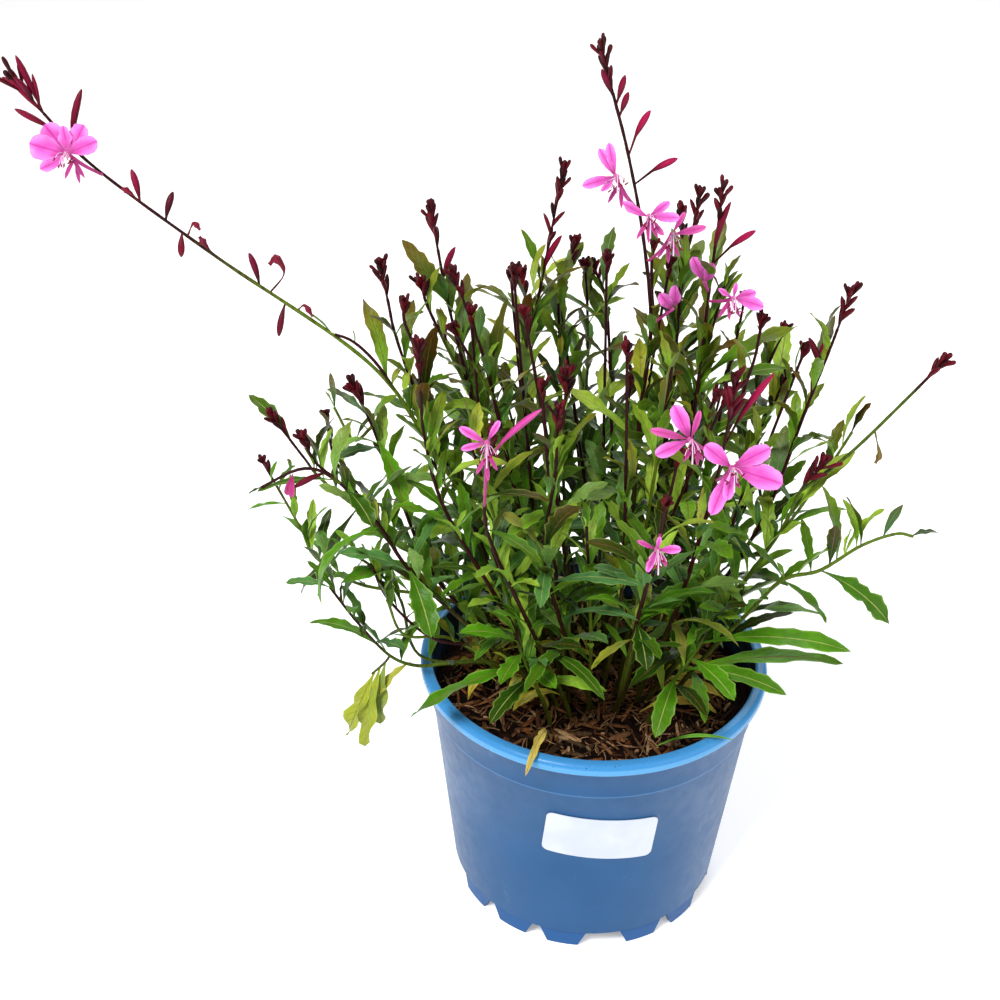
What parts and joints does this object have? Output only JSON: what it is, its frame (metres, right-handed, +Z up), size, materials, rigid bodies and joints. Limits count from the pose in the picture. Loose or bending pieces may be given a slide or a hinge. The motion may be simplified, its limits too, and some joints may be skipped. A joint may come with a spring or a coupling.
{
  "type": "potted flowering perennial",
  "caption": "Bushy flowering perennial with pink blooms, maroon bud spikes and toothed narrow leaves, standing in a round blue plastic nursery pot with a blank white label.",
  "frame": {"origin": "centre of the whole plant seen from above, on the plane that the pot stands on", "axes": "+Z up, -Y out of the front of the pot, which carries the label"},
  "size_m": [0.3505, 0.2048, 0.4048],
  "materials": {
    "pot_plastic": "satin moulded plastic with a brighter lip and feet",
    "substrate": "matt dark bark substrate with red-brown chips and fibres",
    "label_paper": "blank white sticker with rounded corners",
    "foliage": "satin mid-green leaves with pale midribs on stems that go from green to dark red-brown",
    "bud_maroon": "satin dark maroon buds on a dark stem tip",
    "petal_pink": "soft hot-pink petals with darker veins and a red tube",
    "withered_leaf": "limp yellow-green withered leaf",
    "dry_leaf": "dry curled yellow-brown leaf",
    "grass": "thin bright green grass blade"
  },
  "bodies": {
    "root": {"pot": "pot_plastic", "soil": "substrate", "label": "label_paper", "stem_wand_left": "foliage", "stem_wand_top": "foliage", "stem_back_spike": "foliage", "stem_upper_left": "foliage", "stem_left_high": "foliage", "stem_inner_left": "foliage", "stem_front_left_high": "foliage", "stem_front_left_bloom": "foliage", "stem_back_left": "foliage", "stem_back_middle": "foliage", "stem_back_small": "foliage", "stem_right_inner": "foliage", "stem_right_back": "foliage", "stem_right_high": "foliage", "stem_front_right_bloom": "foliage", "stem_right_low": "foliage", "stem_right_outer": "foliage", "stem_right_fork": "foliage", "stem_right_branch": "foliage", "stem_left_mid": "foliage", "stem_left_outer": "foliage", "stem_left_front": "foliage", "stem_left_low": "foliage", "stem_left_trailing": "foliage", "stem_front_middle": "foliage", "stem_front_bloom": "foliage", "stem_shoot_front_left": "foliage", "stem_shoot_front_right": "foliage", "stem_shoot_back_left": "foliage", "stem_shoot_back": "foliage", "stem_shoot_back_right": "foliage", "buds_wand_left": "bud_maroon", "buds_wand_top": "bud_maroon", "buds_back_spike": "bud_maroon", "buds_upper_left": "bud_maroon", "buds_left_high": "bud_maroon", "buds_inner_left": "bud_maroon", "buds_front_left_high": "bud_maroon", "buds_back_left": "bud_maroon", "buds_back_middle": "bud_maroon", "buds_right_inner": "bud_maroon", "buds_right_back": "bud_maroon", "buds_right_high": "bud_maroon", "buds_front_right_bloom": "bud_maroon", "buds_right_outer": "bud_maroon", "bloom_wand_left": "petal_pink", "bloom_top_left": "petal_pink", "bloom_top_right": "petal_pink", "bloom_top_low": "petal_pink", "bloom_upper_right": "petal_pink", "bloom_front_left": "petal_pink", "bloom_front_inner": "petal_pink", "bloom_front_right": "petal_pink", "bloom_front_low": "petal_pink", "withered_leaves": "withered_leaf", "dry_leaf": "dry_leaf", "grass_blade": "grass"}
  },
  "joints": []
}
